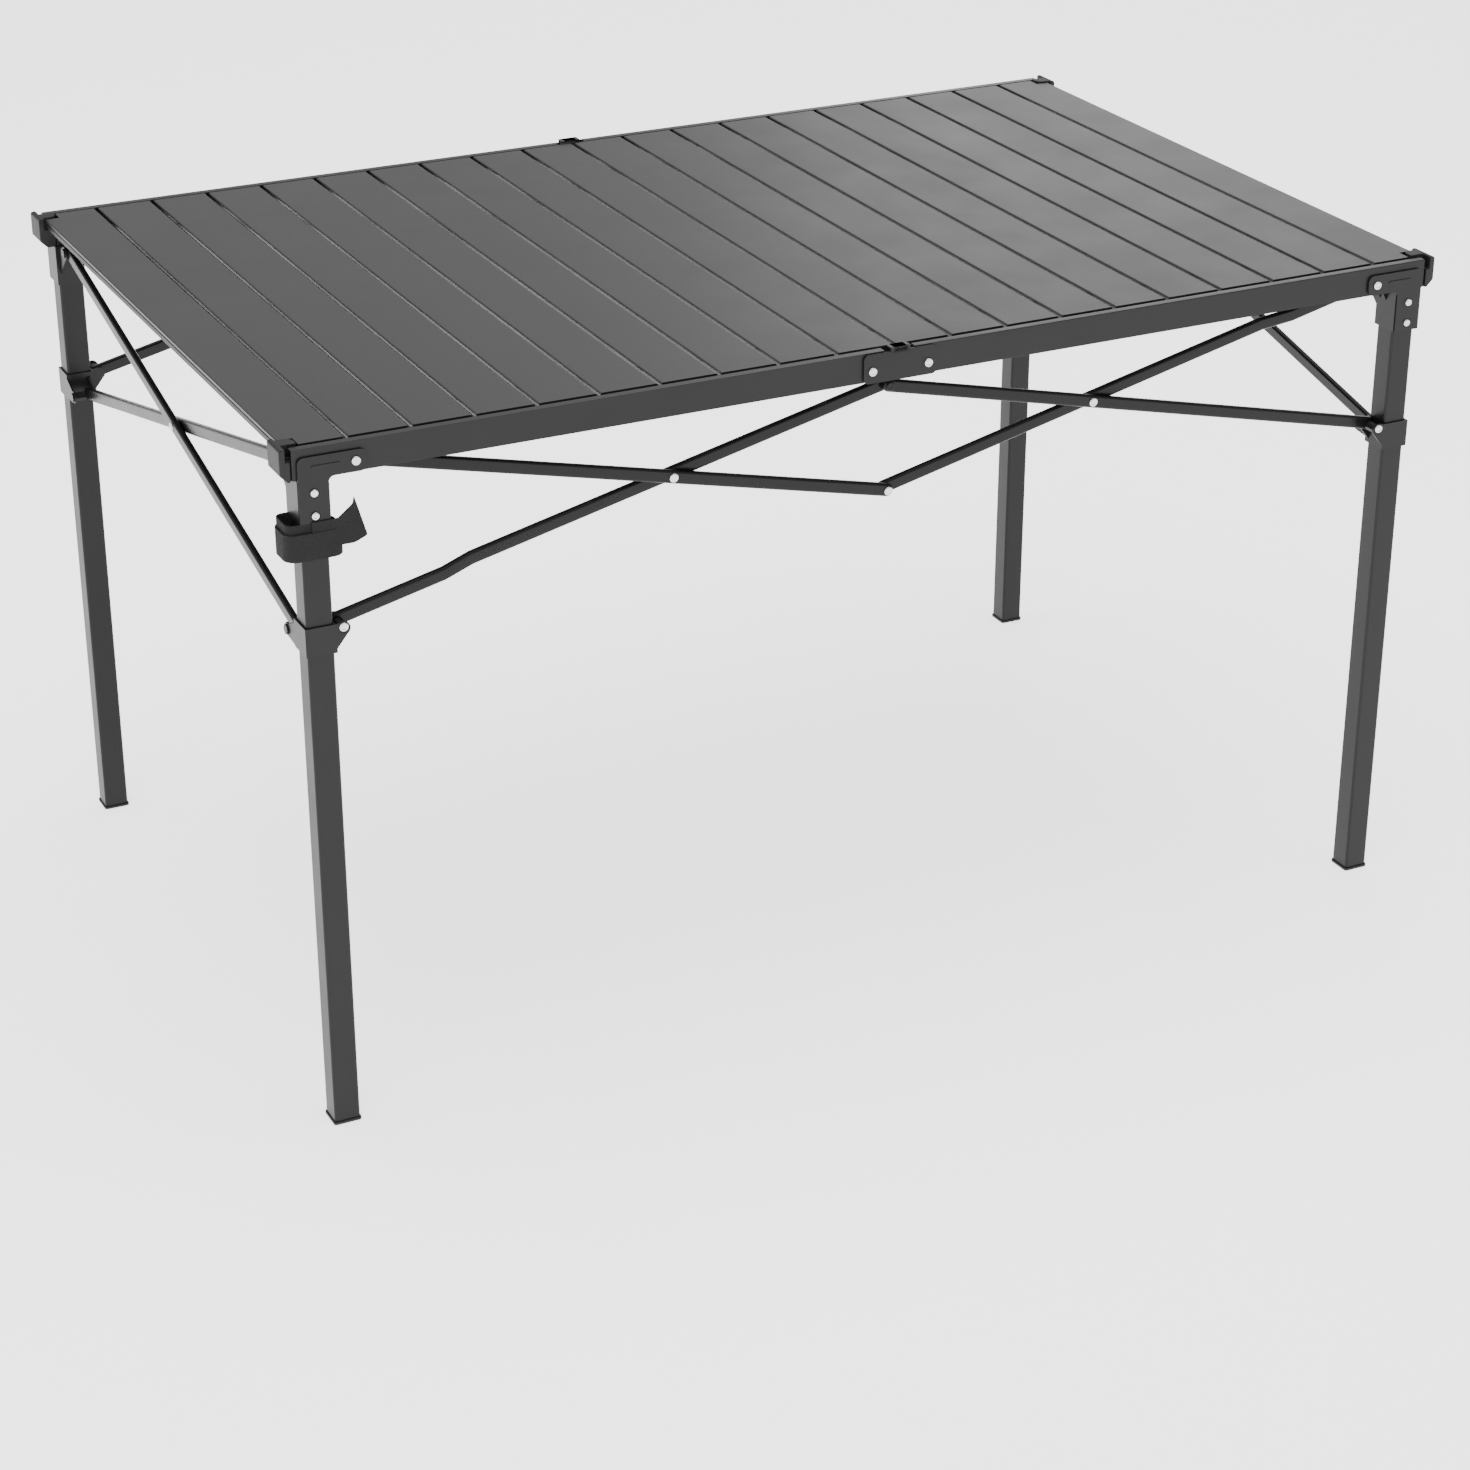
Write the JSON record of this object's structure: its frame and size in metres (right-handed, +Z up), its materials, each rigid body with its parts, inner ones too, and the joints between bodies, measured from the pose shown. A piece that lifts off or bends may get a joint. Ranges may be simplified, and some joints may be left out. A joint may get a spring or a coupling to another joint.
{
  "type": "folding picnic table",
  "caption": "Rectangular folding camp table: a slatted metal roll-up top on hinged side rails and a scissor frame that slides on square legs.",
  "frame": {"origin": "on the floor, under the middle of the table", "axes": "+Z up, +X along the length, +Y across the width towards the back long side"},
  "size_m": [1.194, 0.7584, 0.674],
  "materials": {
    "slat": "satin dark grey anodised",
    "rail": "satin black powder coat",
    "leg": "satin black powder coat",
    "brace": "semi-gloss black",
    "bracket": "satin black",
    "plastic": "matt",
    "webbing": "woven"
  },
  "bodies": {
    "leg_front_left": {"leg_front_left": "leg", "foot_front_left": "plastic", "corner_cap_front_left": "plastic", "rail_bracket_front_left": "bracket", "tie_strap": "webbing"},
    "slider_front_left": {"slider_front_left": "bracket"},
    "rail_front_left": {"rail_front_left": "rail"},
    "leg_front_right": {"leg_front_right": "leg", "foot_front_right": "plastic", "corner_cap_front_right": "plastic", "rail_bracket_front_right": "bracket"},
    "slider_front_right": {"slider_front_right": "bracket"},
    "rail_front_right": {"rail_front_right": "rail"},
    "leg_back_left": {"leg_back_left": "leg", "foot_back_left": "plastic", "corner_cap_back_left": "plastic", "rail_bracket_back_left": "bracket"},
    "slider_back_left": {"slider_back_left": "bracket"},
    "rail_back_left": {"rail_back_left": "rail"},
    "leg_back_right": {"leg_back_right": "leg", "foot_back_right": "plastic", "corner_cap_back_right": "plastic", "rail_bracket_back_right": "bracket"},
    "slider_back_right": {"slider_back_right": "bracket"},
    "rail_back_right": {"rail_back_right": "rail"},
    "rail_hinge_front": {"rail_hinge_front": "bracket"},
    "brace_front_left_high": {"brace_front_left_high": "brace"},
    "brace_front_left_low": {"brace_front_left_low": "brace"},
    "brace_front_right_low": {"brace_front_right_low": "brace"},
    "brace_front_right_high": {"brace_front_right_high": "brace"},
    "rail_hinge_back": {"rail_hinge_back": "bracket"},
    "brace_back_left_high": {"brace_back_left_high": "brace"},
    "brace_back_left_low": {"brace_back_left_low": "brace"},
    "brace_back_right_low": {"brace_back_right_low": "brace"},
    "brace_back_right_high": {"brace_back_right_high": "brace"},
    "brace_left_outer": {"brace_left_outer": "brace"},
    "brace_left_inner": {"brace_left_inner": "brace"},
    "brace_right_outer": {"brace_right_outer": "brace"},
    "brace_right_inner": {"brace_right_inner": "brace"},
    "slat_01": {"slat_01": "slat"},
    "slat_02": {"slat_02": "slat"},
    "slat_03": {"slat_03": "slat"},
    "slat_04": {"slat_04": "slat"},
    "slat_05": {"slat_05": "slat"},
    "slat_06": {"slat_06": "slat"},
    "slat_07": {"slat_07": "slat"},
    "slat_08": {"slat_08": "slat"},
    "slat_09": {"slat_09": "slat"},
    "slat_10": {"slat_10": "slat"},
    "slat_11": {"slat_11": "slat"},
    "slat_12": {"slat_12": "slat"},
    "slat_13": {"slat_13": "slat"},
    "slat_14": {"slat_14": "slat"},
    "slat_15": {"slat_15": "slat"},
    "slat_16": {"slat_16": "slat"},
    "slat_17": {"slat_17": "slat"},
    "slat_18": {"slat_18": "slat"},
    "slat_19": {"slat_19": "slat"},
    "slat_20": {"slat_20": "slat"}
  },
  "joints": [
    {"name": "fold", "type": "hinge", "parent": "leg_front_left", "child": "brace_front_left_high", "pos_m": [-0.547, -0.36, 0.654], "axis": [0, 1, 0], "range_deg": [0, 54]},
    {"name": "front_left_crossing", "type": "hinge", "parent": "brace_front_left_high", "child": "brace_front_left_low", "pos_m": [-0.221, -0.36, 0.57694], "axis": [0, 1, 0], "range_deg": [-108, 0]},
    {"name": "front_top_pivot", "type": "hinge", "parent": "brace_front_left_low", "child": "brace_front_right_low", "pos_m": [0, -0.36, 0.62918], "axis": [0, 1, 0], "range_deg": [0, 108]},
    {"name": "front_right_crossing", "type": "hinge", "parent": "brace_front_right_low", "child": "brace_front_right_high", "pos_m": [0.221, -0.36, 0.57694], "axis": [0, 1, 0], "range_deg": [-108, 0]},
    {"name": "front_right_leg_pivot", "type": "hinge", "parent": "brace_front_right_high", "child": "leg_front_right", "pos_m": [0.547, -0.36, 0.654], "axis": [0, 1, 0], "range_deg": [0, 54]},
    {"name": "slide_front_left", "type": "hinge", "parent": "brace_front_left_low", "child": "slider_front_left", "pos_m": [-0.547, -0.36, 0.49987], "axis": [0, 1, 0], "range_deg": [0, 54]},
    {"name": "slide_front_right", "type": "hinge", "parent": "brace_front_right_low", "child": "slider_front_right", "pos_m": [0.547, -0.36, 0.49987], "axis": [0, 1, 0], "range_deg": [-54, 0]},
    {"name": "left_inner_pivot", "type": "hinge", "parent": "leg_front_left", "child": "brace_left_inner", "pos_m": [-0.568, -0.326, 0.641], "axis": [-1, 0, 0], "range_deg": [0, 54]},
    {"name": "left_crossing", "type": "hinge", "parent": "brace_left_inner", "child": "brace_left_outer", "pos_m": [-0.568, 0, 0.56394], "axis": [-1, 0, 0], "range_deg": [-108, 0]},
    {"name": "back_left_leg_pivot", "type": "hinge", "parent": "brace_left_outer", "child": "leg_back_left", "pos_m": [-0.568, 0.326, 0.641], "axis": [-1, 0, 0], "range_deg": [0, 54]},
    {"name": "back_left_pivot", "type": "hinge", "parent": "leg_back_left", "child": "brace_back_left_high", "pos_m": [-0.547, 0.36, 0.654], "axis": [0, 1, 0], "range_deg": [0, 54]},
    {"name": "back_left_crossing", "type": "hinge", "parent": "brace_back_left_high", "child": "brace_back_left_low", "pos_m": [-0.221, 0.36, 0.57694], "axis": [0, 1, 0], "range_deg": [-108, 0]},
    {"name": "back_top_pivot", "type": "hinge", "parent": "brace_back_left_low", "child": "brace_back_right_low", "pos_m": [0, 0.36, 0.62918], "axis": [0, 1, 0], "range_deg": [0, 108]},
    {"name": "back_right_crossing", "type": "hinge", "parent": "brace_back_right_low", "child": "brace_back_right_high", "pos_m": [0.221, 0.36, 0.57694], "axis": [0, 1, 0], "range_deg": [-108, 0]},
    {"name": "back_right_leg_pivot", "type": "hinge", "parent": "brace_back_right_high", "child": "leg_back_right", "pos_m": [0.547, 0.36, 0.654], "axis": [0, 1, 0], "range_deg": [0, 54]},
    {"name": "slide_back_left", "type": "hinge", "parent": "brace_back_left_low", "child": "slider_back_left", "pos_m": [-0.547, 0.36, 0.49987], "axis": [0, 1, 0], "range_deg": [0, 54]},
    {"name": "slide_back_right", "type": "hinge", "parent": "brace_back_right_low", "child": "slider_back_right", "pos_m": [0.547, 0.36, 0.49987], "axis": [0, 1, 0], "range_deg": [-54, 0]},
    {"name": "right_inner_pivot", "type": "hinge", "parent": "leg_front_right", "child": "brace_right_inner", "pos_m": [0.568, -0.326, 0.641], "axis": [-1, 0, 0], "range_deg": [0, 54]},
    {"name": "right_crossing", "type": "hinge", "parent": "brace_right_inner", "child": "brace_right_outer", "pos_m": [0.568, 0, 0.56394], "axis": [-1, 0, 0], "range_deg": [-108, 0]},
    {"name": "rail_front_left_pivot", "type": "hinge", "parent": "leg_front_left", "child": "rail_front_left", "pos_m": [-0.529, -0.374, 0.654], "axis": [0, 1, 0], "range_deg": [0, 87.48]},
    {"name": "rail_front_right_pivot", "type": "hinge", "parent": "leg_front_right", "child": "rail_front_right", "pos_m": [0.529, -0.374, 0.654], "axis": [0, -1, 0], "range_deg": [0, 87.48]},
    {"name": "rail_front_hinge_pivot", "type": "hinge", "parent": "rail_front_right", "child": "rail_hinge_front", "pos_m": [0.029, -0.374, 0.654], "axis": [0, 1, 0], "range_deg": [0, 87.48]},
    {"name": "rail_back_left_pivot", "type": "hinge", "parent": "leg_back_left", "child": "rail_back_left", "pos_m": [-0.529, 0.374, 0.654], "axis": [0, 1, 0], "range_deg": [0, 87.48]},
    {"name": "rail_back_right_pivot", "type": "hinge", "parent": "leg_back_right", "child": "rail_back_right", "pos_m": [0.529, 0.374, 0.654], "axis": [0, -1, 0], "range_deg": [0, 87.48]},
    {"name": "rail_back_hinge_pivot", "type": "hinge", "parent": "rail_back_right", "child": "rail_hinge_back", "pos_m": [0.029, 0.374, 0.654], "axis": [0, 1, 0], "range_deg": [0, 87.48]},
    {"name": "top_lift", "type": "slide", "parent": "leg_front_left", "child": "slat_01", "axis": [-0.1585, -0.0946, 0.9828], "range_m": [0, 0.7673]},
    {"name": "roll", "type": "hinge", "parent": "slat_01", "child": "slat_02", "pos_m": [-0.5319, 0, 0.667], "axis": [0, -1, 0], "range_deg": [0, 17]},
    {"name": "roll_02", "type": "hinge", "parent": "slat_02", "child": "slat_03", "pos_m": [-0.4728, 0, 0.667], "axis": [0, -1, 0], "range_deg": [0, 17]},
    {"name": "roll_03", "type": "hinge", "parent": "slat_03", "child": "slat_04", "pos_m": [-0.4137, 0, 0.667], "axis": [0, -1, 0], "range_deg": [0, 17]},
    {"name": "roll_04", "type": "hinge", "parent": "slat_04", "child": "slat_05", "pos_m": [-0.3546, 0, 0.667], "axis": [0, -1, 0], "range_deg": [0, 17]},
    {"name": "roll_05", "type": "hinge", "parent": "slat_05", "child": "slat_06", "pos_m": [-0.2955, 0, 0.667], "axis": [0, -1, 0], "range_deg": [0, 17]},
    {"name": "roll_06", "type": "hinge", "parent": "slat_06", "child": "slat_07", "pos_m": [-0.2364, 0, 0.667], "axis": [0, -1, 0], "range_deg": [0, 17]},
    {"name": "roll_07", "type": "hinge", "parent": "slat_07", "child": "slat_08", "pos_m": [-0.1773, 0, 0.667], "axis": [0, -1, 0], "range_deg": [0, 17]},
    {"name": "roll_08", "type": "hinge", "parent": "slat_08", "child": "slat_09", "pos_m": [-0.1182, 0, 0.667], "axis": [0, -1, 0], "range_deg": [0, 17]},
    {"name": "roll_09", "type": "hinge", "parent": "slat_09", "child": "slat_10", "pos_m": [-0.0591, 0, 0.667], "axis": [0, -1, 0], "range_deg": [0, 17]},
    {"name": "roll_10", "type": "hinge", "parent": "slat_10", "child": "slat_11", "pos_m": [0, 0, 0.667], "axis": [0, -1, 0], "range_deg": [0, 17]},
    {"name": "roll_11", "type": "hinge", "parent": "slat_11", "child": "slat_12", "pos_m": [0.0591, 0, 0.667], "axis": [0, -1, 0], "range_deg": [0, 17]},
    {"name": "roll_12", "type": "hinge", "parent": "slat_12", "child": "slat_13", "pos_m": [0.1182, 0, 0.667], "axis": [0, -1, 0], "range_deg": [0, 17]},
    {"name": "roll_13", "type": "hinge", "parent": "slat_13", "child": "slat_14", "pos_m": [0.1773, 0, 0.667], "axis": [0, -1, 0], "range_deg": [0, 17]},
    {"name": "roll_14", "type": "hinge", "parent": "slat_14", "child": "slat_15", "pos_m": [0.2364, 0, 0.667], "axis": [0, -1, 0], "range_deg": [0, 17]},
    {"name": "roll_15", "type": "hinge", "parent": "slat_15", "child": "slat_16", "pos_m": [0.2955, 0, 0.667], "axis": [0, -1, 0], "range_deg": [0, 17]},
    {"name": "roll_16", "type": "hinge", "parent": "slat_16", "child": "slat_17", "pos_m": [0.3546, 0, 0.667], "axis": [0, -1, 0], "range_deg": [0, 17]},
    {"name": "roll_17", "type": "hinge", "parent": "slat_17", "child": "slat_18", "pos_m": [0.4137, 0, 0.667], "axis": [0, -1, 0], "range_deg": [0, 17]},
    {"name": "roll_18", "type": "hinge", "parent": "slat_18", "child": "slat_19", "pos_m": [0.4728, 0, 0.667], "axis": [0, -1, 0], "range_deg": [0, 17]},
    {"name": "roll_19", "type": "hinge", "parent": "slat_19", "child": "slat_20", "pos_m": [0.5319, 0, 0.667], "axis": [0, -1, 0], "range_deg": [0, 17]}
  ],
  "couplings": [
    {"joint": "front_left_crossing", "follows": "fold", "ratio": -2},
    {"joint": "front_top_pivot", "follows": "fold", "ratio": 2},
    {"joint": "front_right_crossing", "follows": "fold", "ratio": -2},
    {"joint": "front_right_leg_pivot", "follows": "fold", "ratio": 1},
    {"joint": "slide_front_left", "follows": "fold", "ratio": 1},
    {"joint": "slide_front_right", "follows": "fold", "ratio": -1},
    {"joint": "left_inner_pivot", "follows": "fold", "ratio": 1},
    {"joint": "left_crossing", "follows": "fold", "ratio": -2},
    {"joint": "back_left_leg_pivot", "follows": "fold", "ratio": 1},
    {"joint": "back_left_pivot", "follows": "fold", "ratio": 1},
    {"joint": "back_left_crossing", "follows": "fold", "ratio": -2},
    {"joint": "back_top_pivot", "follows": "fold", "ratio": 2},
    {"joint": "back_right_crossing", "follows": "fold", "ratio": -2},
    {"joint": "back_right_leg_pivot", "follows": "fold", "ratio": 1},
    {"joint": "slide_back_left", "follows": "fold", "ratio": 1},
    {"joint": "slide_back_right", "follows": "fold", "ratio": -1},
    {"joint": "right_inner_pivot", "follows": "fold", "ratio": 1},
    {"joint": "right_crossing", "follows": "fold", "ratio": -2},
    {"joint": "rail_front_left_pivot", "follows": "fold", "ratio": 1.62},
    {"joint": "rail_front_right_pivot", "follows": "fold", "ratio": 1.62},
    {"joint": "rail_front_hinge_pivot", "follows": "fold", "ratio": 1.62},
    {"joint": "rail_back_left_pivot", "follows": "fold", "ratio": 1.62},
    {"joint": "rail_back_right_pivot", "follows": "fold", "ratio": 1.62},
    {"joint": "rail_back_hinge_pivot", "follows": "fold", "ratio": 1.62},
    {"joint": "top_lift", "follows": "fold", "m_per_rad": 0.814},
    {"joint": "roll_02", "follows": "roll", "ratio": 1},
    {"joint": "roll_03", "follows": "roll", "ratio": 1},
    {"joint": "roll_04", "follows": "roll", "ratio": 1},
    {"joint": "roll_05", "follows": "roll", "ratio": 1},
    {"joint": "roll_06", "follows": "roll", "ratio": 1},
    {"joint": "roll_07", "follows": "roll", "ratio": 1},
    {"joint": "roll_08", "follows": "roll", "ratio": 1},
    {"joint": "roll_09", "follows": "roll", "ratio": 1},
    {"joint": "roll_10", "follows": "roll", "ratio": 1},
    {"joint": "roll_11", "follows": "roll", "ratio": 1},
    {"joint": "roll_12", "follows": "roll", "ratio": 1},
    {"joint": "roll_13", "follows": "roll", "ratio": 1},
    {"joint": "roll_14", "follows": "roll", "ratio": 1},
    {"joint": "roll_15", "follows": "roll", "ratio": 1},
    {"joint": "roll_16", "follows": "roll", "ratio": 1},
    {"joint": "roll_17", "follows": "roll", "ratio": 1},
    {"joint": "roll_18", "follows": "roll", "ratio": 1},
    {"joint": "roll_19", "follows": "roll", "ratio": 1}
  ]
}
